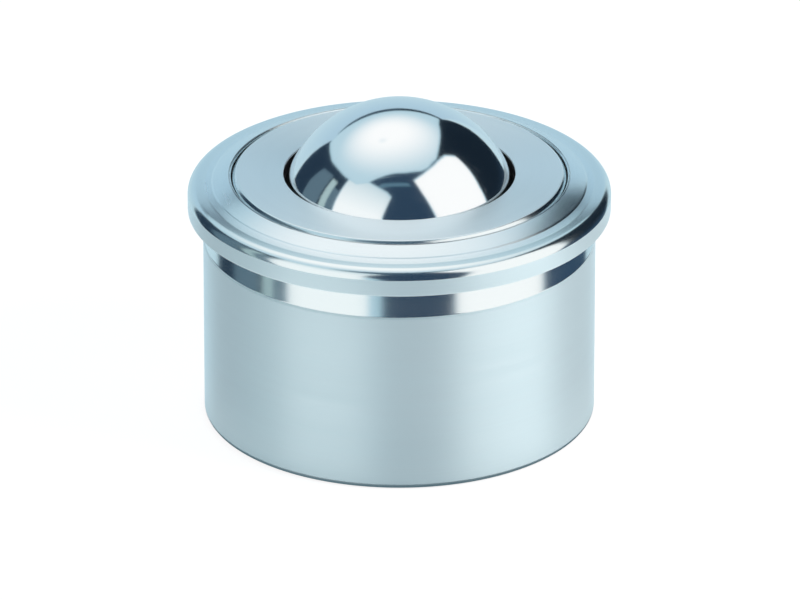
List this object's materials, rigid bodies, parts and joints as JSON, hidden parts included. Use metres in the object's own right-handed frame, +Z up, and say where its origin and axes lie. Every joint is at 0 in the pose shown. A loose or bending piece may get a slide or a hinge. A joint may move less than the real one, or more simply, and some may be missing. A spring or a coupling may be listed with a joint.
{
  "type": "ball transfer unit",
  "caption": "Round flanged ball transfer unit: a load ball turns in any direction on a bed of small bearing balls in a turned steel housing.",
  "frame": {"origin": "centre of the flat base, on the unit's axis", "axes": "+Z up along the axis of the housing, through the centre of the load ball"},
  "size_m": [0.0388, 0.0388, 0.0301],
  "materials": {
    "turned_steel": "ground body, polished relief and flange",
    "cover_steel": "fine satin",
    "hardened_cup": "hardened and ground",
    "load_ball": "polished bearing ball",
    "bearing_balls": "polished bearing balls",
    "felt": "pressed wool felt"
  },
  "bodies": {
    "housing": {"housing": "turned_steel", "raceway_cup": "hardened_cup", "felt_seal": "felt", "cover_plate": "cover_steel"},
    "bearing_ball_01": {"bearing_ball_01": "bearing_balls"},
    "bearing_ball_02": {"bearing_ball_02": "bearing_balls"},
    "bearing_ball_03": {"bearing_ball_03": "bearing_balls"},
    "bearing_ball_04": {"bearing_ball_04": "bearing_balls"},
    "bearing_ball_05": {"bearing_ball_05": "bearing_balls"},
    "bearing_ball_06": {"bearing_ball_06": "bearing_balls"},
    "bearing_ball_07": {"bearing_ball_07": "bearing_balls"},
    "bearing_ball_08": {"bearing_ball_08": "bearing_balls"},
    "bearing_ball_09": {"bearing_ball_09": "bearing_balls"},
    "bearing_ball_10": {"bearing_ball_10": "bearing_balls"},
    "bearing_ball_11": {"bearing_ball_11": "bearing_balls"},
    "bearing_ball_12": {"bearing_ball_12": "bearing_balls"},
    "bearing_ball_13": {"bearing_ball_13": "bearing_balls"},
    "bearing_ball_14": {"bearing_ball_14": "bearing_balls"},
    "bearing_ball_15": {"bearing_ball_15": "bearing_balls"},
    "bearing_ball_16": {"bearing_ball_16": "bearing_balls"},
    "bearing_ball_17": {"bearing_ball_17": "bearing_balls"},
    "bearing_ball_18": {"bearing_ball_18": "bearing_balls"},
    "bearing_ball_19": {"bearing_ball_19": "bearing_balls"},
    "bearing_ball_20": {"bearing_ball_20": "bearing_balls"},
    "bearing_ball_21": {"bearing_ball_21": "bearing_balls"},
    "bearing_ball_22": {"bearing_ball_22": "bearing_balls"},
    "bearing_ball_23": {"bearing_ball_23": "bearing_balls"},
    "bearing_ball_24": {"bearing_ball_24": "bearing_balls"},
    "bearing_ball_25": {"bearing_ball_25": "bearing_balls"},
    "bearing_ball_26": {"bearing_ball_26": "bearing_balls"},
    "bearing_ball_27": {"bearing_ball_27": "bearing_balls"},
    "bearing_ball_28": {"bearing_ball_28": "bearing_balls"},
    "bearing_ball_29": {"bearing_ball_29": "bearing_balls"},
    "bearing_ball_30": {"bearing_ball_30": "bearing_balls"},
    "bearing_ball_31": {"bearing_ball_31": "bearing_balls"},
    "bearing_ball_32": {"bearing_ball_32": "bearing_balls"},
    "bearing_ball_33": {"bearing_ball_33": "bearing_balls"},
    "bearing_ball_34": {"bearing_ball_34": "bearing_balls"},
    "bearing_ball_35": {"bearing_ball_35": "bearing_balls"},
    "bearing_ball_36": {"bearing_ball_36": "bearing_balls"},
    "bearing_ball_37": {"bearing_ball_37": "bearing_balls"},
    "bearing_ball_38": {"bearing_ball_38": "bearing_balls"},
    "bearing_ball_39": {"bearing_ball_39": "bearing_balls"},
    "bearing_ball_40": {"bearing_ball_40": "bearing_balls"},
    "bearing_ball_41": {"bearing_ball_41": "bearing_balls"},
    "bearing_ball_42": {"bearing_ball_42": "bearing_balls"},
    "bearing_ball_43": {"bearing_ball_43": "bearing_balls"},
    "bearing_ball_44": {"bearing_ball_44": "bearing_balls"},
    "bearing_ball_45": {"bearing_ball_45": "bearing_balls"},
    "bearing_ball_46": {"bearing_ball_46": "bearing_balls"},
    "bearing_ball_47": {"bearing_ball_47": "bearing_balls"},
    "bearing_ball_48": {"bearing_ball_48": "bearing_balls"},
    "bearing_ball_49": {"bearing_ball_49": "bearing_balls"},
    "bearing_ball_50": {"bearing_ball_50": "bearing_balls"},
    "bearing_ball_51": {"bearing_ball_51": "bearing_balls"},
    "bearing_ball_52": {"bearing_ball_52": "bearing_balls"},
    "bearing_ball_53": {"bearing_ball_53": "bearing_balls"},
    "load_ball": {"load_ball": "load_ball"}
  },
  "joints": [
    {"name": "bearing_bed_orbit", "type": "hinge", "parent": "housing", "child": "bearing_ball_01", "pos_m": [0, 0, 0.019], "axis": [0, 0, 1], "continuous": true},
    {"name": "load_ball_roll", "type": "hinge", "parent": "bearing_ball_01", "child": "load_ball", "pos_m": [0, 0, 0.019], "axis": [1, 0, 0], "continuous": true},
    {"name": "bearing_ball_02_spin", "type": "hinge", "parent": "bearing_ball_01", "child": "bearing_ball_02", "pos_m": [0.00352, 0.00203, 0.00651], "axis": [0.9635, -0.043, 0.2643], "continuous": true},
    {"name": "bearing_ball_03_spin", "type": "hinge", "parent": "bearing_ball_01", "child": "bearing_ball_03", "pos_m": [0, 0.00406, 0.00651], "axis": [1, 0, 0], "continuous": true},
    {"name": "bearing_ball_04_spin", "type": "hinge", "parent": "bearing_ball_01", "child": "bearing_ball_04", "pos_m": [-0.00352, 0.00203, 0.00651], "axis": [0.9635, 0.043, -0.2643], "continuous": true},
    {"name": "bearing_ball_05_spin", "type": "hinge", "parent": "bearing_ball_01", "child": "bearing_ball_05", "pos_m": [-0.00352, -0.00203, 0.00651], "axis": [0.9635, -0.043, -0.2643], "continuous": true},
    {"name": "bearing_ball_06_spin", "type": "hinge", "parent": "bearing_ball_01", "child": "bearing_ball_06", "pos_m": [0, -0.00406, 0.00651], "axis": [1, 0, 0], "continuous": true},
    {"name": "bearing_ball_07_spin", "type": "hinge", "parent": "bearing_ball_01", "child": "bearing_ball_07", "pos_m": [0.00352, -0.00203, 0.00651], "axis": [0.9635, 0.043, 0.2643], "continuous": true},
    {"name": "bearing_ball_08_spin", "type": "hinge", "parent": "bearing_ball_01", "child": "bearing_ball_08", "pos_m": [0.00772, 0, 0.00838], "axis": [0.8088, 0, 0.5881], "continuous": true},
    {"name": "bearing_ball_09_spin", "type": "hinge", "parent": "bearing_ball_01", "child": "bearing_ball_09", "pos_m": [0.0065, 0.00417, 0.00838], "axis": [0.869, -0.181, 0.4605], "continuous": true},
    {"name": "bearing_ball_10_spin", "type": "hinge", "parent": "bearing_ball_01", "child": "bearing_ball_10", "pos_m": [0.00321, 0.00702, 0.00838], "axis": [0.9697, -0.1348, 0.2038], "continuous": true},
    {"name": "bearing_ball_11_spin", "type": "hinge", "parent": "bearing_ball_01", "child": "bearing_ball_11", "pos_m": [-0.0011, 0.00764, 0.00838], "axis": [0.9965, 0.0489, -0.0679], "continuous": true},
    {"name": "bearing_ball_12_spin", "type": "hinge", "parent": "bearing_ball_01", "child": "bearing_ball_12", "pos_m": [-0.00506, 0.00584, 0.00838], "axis": [0.9229, 0.1855, -0.3375], "continuous": true},
    {"name": "bearing_ball_13_spin", "type": "hinge", "parent": "bearing_ball_01", "child": "bearing_ball_13", "pos_m": [-0.00741, 0.00218, 0.00838], "axis": [0.8256, 0.1133, -0.5528], "continuous": true},
    {"name": "bearing_ball_14_spin", "type": "hinge", "parent": "bearing_ball_01", "child": "bearing_ball_14", "pos_m": [-0.00741, -0.00218, 0.00838], "axis": [0.8256, -0.1133, -0.5528], "continuous": true},
    {"name": "bearing_ball_15_spin", "type": "hinge", "parent": "bearing_ball_01", "child": "bearing_ball_15", "pos_m": [-0.00506, -0.00584, 0.00838], "axis": [0.9229, -0.1855, -0.3375], "continuous": true},
    {"name": "bearing_ball_16_spin", "type": "hinge", "parent": "bearing_ball_01", "child": "bearing_ball_16", "pos_m": [-0.0011, -0.00764, 0.00838], "axis": [0.9965, -0.0489, -0.0679], "continuous": true},
    {"name": "bearing_ball_17_spin", "type": "hinge", "parent": "bearing_ball_01", "child": "bearing_ball_17", "pos_m": [0.00321, -0.00702, 0.00838], "axis": [0.9697, 0.1348, 0.2038], "continuous": true},
    {"name": "bearing_ball_18_spin", "type": "hinge", "parent": "bearing_ball_01", "child": "bearing_ball_18", "pos_m": [0.0065, -0.00417, 0.00838], "axis": [0.869, 0.181, 0.4605], "continuous": true},
    {"name": "bearing_ball_19_spin", "type": "hinge", "parent": "bearing_ball_01", "child": "bearing_ball_19", "pos_m": [0.01042, 0.00207, 0.01129], "axis": [0.6081, -0.2061, 0.7666], "continuous": true},
    {"name": "bearing_ball_20_spin", "type": "hinge", "parent": "bearing_ball_01", "child": "bearing_ball_20", "pos_m": [0.00884, 0.0059, 0.01129], "axis": [0.7397, -0.4091, 0.5343], "continuous": true},
    {"name": "bearing_ball_21_spin", "type": "hinge", "parent": "bearing_ball_01", "child": "bearing_ball_21", "pos_m": [0.0059, 0.00884, 0.01129], "axis": [0.8932, -0.3388, 0.2957], "continuous": true},
    {"name": "bearing_ball_22_spin", "type": "hinge", "parent": "bearing_ball_01", "child": "bearing_ball_22", "pos_m": [0.00207, 0.01042, 0.01129], "axis": [0.9875, -0.1269, 0.0939], "continuous": true},
    {"name": "bearing_ball_23_spin", "type": "hinge", "parent": "bearing_ball_01", "child": "bearing_ball_23", "pos_m": [-0.00207, 0.01042, 0.01129], "axis": [0.9875, 0.1269, -0.0939], "continuous": true},
    {"name": "bearing_ball_24_spin", "type": "hinge", "parent": "bearing_ball_01", "child": "bearing_ball_24", "pos_m": [-0.0059, 0.00884, 0.01129], "axis": [0.8932, 0.3388, -0.2957], "continuous": true},
    {"name": "bearing_ball_25_spin", "type": "hinge", "parent": "bearing_ball_01", "child": "bearing_ball_25", "pos_m": [-0.00884, 0.0059, 0.01129], "axis": [0.7397, 0.4091, -0.5343], "continuous": true},
    {"name": "bearing_ball_26_spin", "type": "hinge", "parent": "bearing_ball_01", "child": "bearing_ball_26", "pos_m": [-0.01042, 0.00207, 0.01129], "axis": [0.6081, 0.2061, -0.7666], "continuous": true},
    {"name": "bearing_ball_27_spin", "type": "hinge", "parent": "bearing_ball_01", "child": "bearing_ball_27", "pos_m": [-0.01042, -0.00207, 0.01129], "axis": [0.6081, -0.2061, -0.7666], "continuous": true},
    {"name": "bearing_ball_28_spin", "type": "hinge", "parent": "bearing_ball_01", "child": "bearing_ball_28", "pos_m": [-0.00884, -0.0059, 0.01129], "axis": [0.7397, -0.4091, -0.5343], "continuous": true},
    {"name": "bearing_ball_29_spin", "type": "hinge", "parent": "bearing_ball_01", "child": "bearing_ball_29", "pos_m": [-0.0059, -0.00884, 0.01129], "axis": [0.8932, -0.3388, -0.2957], "continuous": true},
    {"name": "bearing_ball_30_spin", "type": "hinge", "parent": "bearing_ball_01", "child": "bearing_ball_30", "pos_m": [-0.00207, -0.01042, 0.01129], "axis": [0.9875, -0.1269, -0.0939], "continuous": true},
    {"name": "bearing_ball_31_spin", "type": "hinge", "parent": "bearing_ball_01", "child": "bearing_ball_31", "pos_m": [0.00207, -0.01042, 0.01129], "axis": [0.9875, 0.1269, 0.0939], "continuous": true},
    {"name": "bearing_ball_32_spin", "type": "hinge", "parent": "bearing_ball_01", "child": "bearing_ball_32", "pos_m": [0.0059, -0.00884, 0.01129], "axis": [0.8932, 0.3388, 0.2957], "continuous": true},
    {"name": "bearing_ball_33_spin", "type": "hinge", "parent": "bearing_ball_01", "child": "bearing_ball_33", "pos_m": [0.00884, -0.0059, 0.01129], "axis": [0.7397, 0.4091, 0.5343], "continuous": true},
    {"name": "bearing_ball_34_spin", "type": "hinge", "parent": "bearing_ball_01", "child": "bearing_ball_34", "pos_m": [0.01042, -0.00207, 0.01129], "axis": [0.6081, 0.2061, 0.7666], "continuous": true},
    {"name": "bearing_ball_35_spin", "type": "hinge", "parent": "bearing_ball_01", "child": "bearing_ball_35", "pos_m": [0.01249, 0, 0.01495], "axis": [0.3082, 0, 0.9513], "continuous": true},
    {"name": "bearing_ball_36_spin", "type": "hinge", "parent": "bearing_ball_01", "child": "bearing_ball_36", "pos_m": [0.01181, 0.00406, 0.01495], "axis": [0.4364, -0.6369, 0.6355], "continuous": true},
    {"name": "bearing_ball_37_spin", "type": "hinge", "parent": "bearing_ball_01", "child": "bearing_ball_37", "pos_m": [0.00986, 0.00767, 0.01495], "axis": [0.6606, -0.664, 0.3503], "continuous": true},
    {"name": "bearing_ball_38_spin", "type": "hinge", "parent": "bearing_ball_01", "child": "bearing_ball_38", "pos_m": [0.00683, 0.01046, 0.01495], "axis": [0.854, -0.4852, 0.1878], "continuous": true},
    {"name": "bearing_ball_39_spin", "type": "hinge", "parent": "bearing_ball_01", "child": "bearing_ball_39", "pos_m": [0.00307, 0.01211, 0.01495], "axis": [0.9723, -0.2215, 0.074], "continuous": true},
    {"name": "bearing_ball_40_spin", "type": "hinge", "parent": "bearing_ball_01", "child": "bearing_ball_40", "pos_m": [-0.00103, 0.01245, 0.01495], "axis": [0.9969, 0.0747, -0.0243], "continuous": true},
    {"name": "bearing_ball_41_spin", "type": "hinge", "parent": "bearing_ball_01", "child": "bearing_ball_41", "pos_m": [-0.00502, 0.01144, 0.01495], "axis": [0.9241, 0.3603, -0.1275], "continuous": true},
    {"name": "bearing_ball_42_spin", "type": "hinge", "parent": "bearing_ball_01", "child": "bearing_ball_42", "pos_m": [-0.00846, 0.00919, 0.01495], "axis": [0.7648, 0.5897, -0.2597], "continuous": true},
    {"name": "bearing_ball_43_spin", "type": "hinge", "parent": "bearing_ball_01", "child": "bearing_ball_43", "pos_m": [-0.01099, 0.00594, 0.01495], "axis": [0.5477, 0.6916, -0.4708], "continuous": true},
    {"name": "bearing_ball_44_spin", "type": "hinge", "parent": "bearing_ball_01", "child": "bearing_ball_44", "pos_m": [-0.01232, 0.00206, 0.01495], "axis": [0.3457, 0.425, -0.8366], "continuous": true},
    {"name": "bearing_ball_45_spin", "type": "hinge", "parent": "bearing_ball_01", "child": "bearing_ball_45", "pos_m": [-0.01232, -0.00206, 0.01495], "axis": [0.3457, -0.425, -0.8366], "continuous": true},
    {"name": "bearing_ball_46_spin", "type": "hinge", "parent": "bearing_ball_01", "child": "bearing_ball_46", "pos_m": [-0.01099, -0.00594, 0.01495], "axis": [0.5477, -0.6916, -0.4708], "continuous": true},
    {"name": "bearing_ball_47_spin", "type": "hinge", "parent": "bearing_ball_01", "child": "bearing_ball_47", "pos_m": [-0.00846, -0.00919, 0.01495], "axis": [0.7648, -0.5897, -0.2597], "continuous": true},
    {"name": "bearing_ball_48_spin", "type": "hinge", "parent": "bearing_ball_01", "child": "bearing_ball_48", "pos_m": [-0.00502, -0.01144, 0.01495], "axis": [0.9241, -0.3603, -0.1275], "continuous": true},
    {"name": "bearing_ball_49_spin", "type": "hinge", "parent": "bearing_ball_01", "child": "bearing_ball_49", "pos_m": [-0.00103, -0.01245, 0.01495], "axis": [0.9969, -0.0747, -0.0243], "continuous": true},
    {"name": "bearing_ball_50_spin", "type": "hinge", "parent": "bearing_ball_01", "child": "bearing_ball_50", "pos_m": [0.00307, -0.01211, 0.01495], "axis": [0.9723, 0.2215, 0.074], "continuous": true},
    {"name": "bearing_ball_51_spin", "type": "hinge", "parent": "bearing_ball_01", "child": "bearing_ball_51", "pos_m": [0.00683, -0.01046, 0.01495], "axis": [0.854, 0.4852, 0.1878], "continuous": true},
    {"name": "bearing_ball_52_spin", "type": "hinge", "parent": "bearing_ball_01", "child": "bearing_ball_52", "pos_m": [0.00986, -0.00767, 0.01495], "axis": [0.6606, 0.664, 0.3503], "continuous": true},
    {"name": "bearing_ball_53_spin", "type": "hinge", "parent": "bearing_ball_01", "child": "bearing_ball_53", "pos_m": [0.01181, -0.00406, 0.01495], "axis": [0.4364, 0.6369, 0.6355], "continuous": true}
  ],
  "couplings": [
    {"joint": "bearing_ball_02_spin", "follows": "load_ball_roll", "ratio": -2.6737},
    {"joint": "bearing_ball_03_spin", "follows": "load_ball_roll", "ratio": -2.775},
    {"joint": "bearing_ball_04_spin", "follows": "load_ball_roll", "ratio": -2.6737},
    {"joint": "bearing_ball_05_spin", "follows": "load_ball_roll", "ratio": -2.6737},
    {"joint": "bearing_ball_06_spin", "follows": "load_ball_roll", "ratio": -2.775},
    {"joint": "bearing_ball_07_spin", "follows": "load_ball_roll", "ratio": -2.6737},
    {"joint": "bearing_ball_08_spin", "follows": "load_ball_roll", "ratio": -2.2443},
    {"joint": "bearing_ball_09_spin", "follows": "load_ball_roll", "ratio": -2.4116},
    {"joint": "bearing_ball_10_spin", "follows": "load_ball_roll", "ratio": -2.6909},
    {"joint": "bearing_ball_11_spin", "follows": "load_ball_roll", "ratio": -2.7653},
    {"joint": "bearing_ball_12_spin", "follows": "load_ball_roll", "ratio": -2.5609},
    {"joint": "bearing_ball_13_spin", "follows": "load_ball_roll", "ratio": -2.291},
    {"joint": "bearing_ball_14_spin", "follows": "load_ball_roll", "ratio": -2.291},
    {"joint": "bearing_ball_15_spin", "follows": "load_ball_roll", "ratio": -2.5609},
    {"joint": "bearing_ball_16_spin", "follows": "load_ball_roll", "ratio": -2.7653},
    {"joint": "bearing_ball_17_spin", "follows": "load_ball_roll", "ratio": -2.6909},
    {"joint": "bearing_ball_18_spin", "follows": "load_ball_roll", "ratio": -2.4116},
    {"joint": "bearing_ball_19_spin", "follows": "load_ball_roll", "ratio": -1.6876},
    {"joint": "bearing_ball_20_spin", "follows": "load_ball_roll", "ratio": -2.0526},
    {"joint": "bearing_ball_21_spin", "follows": "load_ball_roll", "ratio": -2.4786},
    {"joint": "bearing_ball_22_spin", "follows": "load_ball_roll", "ratio": -2.7402},
    {"joint": "bearing_ball_23_spin", "follows": "load_ball_roll", "ratio": -2.7402},
    {"joint": "bearing_ball_24_spin", "follows": "load_ball_roll", "ratio": -2.4786},
    {"joint": "bearing_ball_25_spin", "follows": "load_ball_roll", "ratio": -2.0526},
    {"joint": "bearing_ball_26_spin", "follows": "load_ball_roll", "ratio": -1.6876},
    {"joint": "bearing_ball_27_spin", "follows": "load_ball_roll", "ratio": -1.6876},
    {"joint": "bearing_ball_28_spin", "follows": "load_ball_roll", "ratio": -2.0526},
    {"joint": "bearing_ball_29_spin", "follows": "load_ball_roll", "ratio": -2.4786},
    {"joint": "bearing_ball_30_spin", "follows": "load_ball_roll", "ratio": -2.7402},
    {"joint": "bearing_ball_31_spin", "follows": "load_ball_roll", "ratio": -2.7402},
    {"joint": "bearing_ball_32_spin", "follows": "load_ball_roll", "ratio": -2.4786},
    {"joint": "bearing_ball_33_spin", "follows": "load_ball_roll", "ratio": -2.0526},
    {"joint": "bearing_ball_34_spin", "follows": "load_ball_roll", "ratio": -1.6876},
    {"joint": "bearing_ball_35_spin", "follows": "load_ball_roll", "ratio": -0.85532},
    {"joint": "bearing_ball_36_spin", "follows": "load_ball_roll", "ratio": -1.2109},
    {"joint": "bearing_ball_37_spin", "follows": "load_ball_roll", "ratio": -1.8332},
    {"joint": "bearing_ball_38_spin", "follows": "load_ball_roll", "ratio": -2.3698},
    {"joint": "bearing_ball_39_spin", "follows": "load_ball_roll", "ratio": -2.6983},
    {"joint": "bearing_ball_40_spin", "follows": "load_ball_roll", "ratio": -2.7664},
    {"joint": "bearing_ball_41_spin", "follows": "load_ball_roll", "ratio": -2.5644},
    {"joint": "bearing_ball_42_spin", "follows": "load_ball_roll", "ratio": -2.1222},
    {"joint": "bearing_ball_43_spin", "follows": "load_ball_roll", "ratio": -1.5199},
    {"joint": "bearing_ball_44_spin", "follows": "load_ball_roll", "ratio": -0.95936},
    {"joint": "bearing_ball_45_spin", "follows": "load_ball_roll", "ratio": -0.95936},
    {"joint": "bearing_ball_46_spin", "follows": "load_ball_roll", "ratio": -1.5199},
    {"joint": "bearing_ball_47_spin", "follows": "load_ball_roll", "ratio": -2.1222},
    {"joint": "bearing_ball_48_spin", "follows": "load_ball_roll", "ratio": -2.5644},
    {"joint": "bearing_ball_49_spin", "follows": "load_ball_roll", "ratio": -2.7664},
    {"joint": "bearing_ball_50_spin", "follows": "load_ball_roll", "ratio": -2.6983},
    {"joint": "bearing_ball_51_spin", "follows": "load_ball_roll", "ratio": -2.3698},
    {"joint": "bearing_ball_52_spin", "follows": "load_ball_roll", "ratio": -1.8332},
    {"joint": "bearing_ball_53_spin", "follows": "load_ball_roll", "ratio": -1.2109}
  ]
}
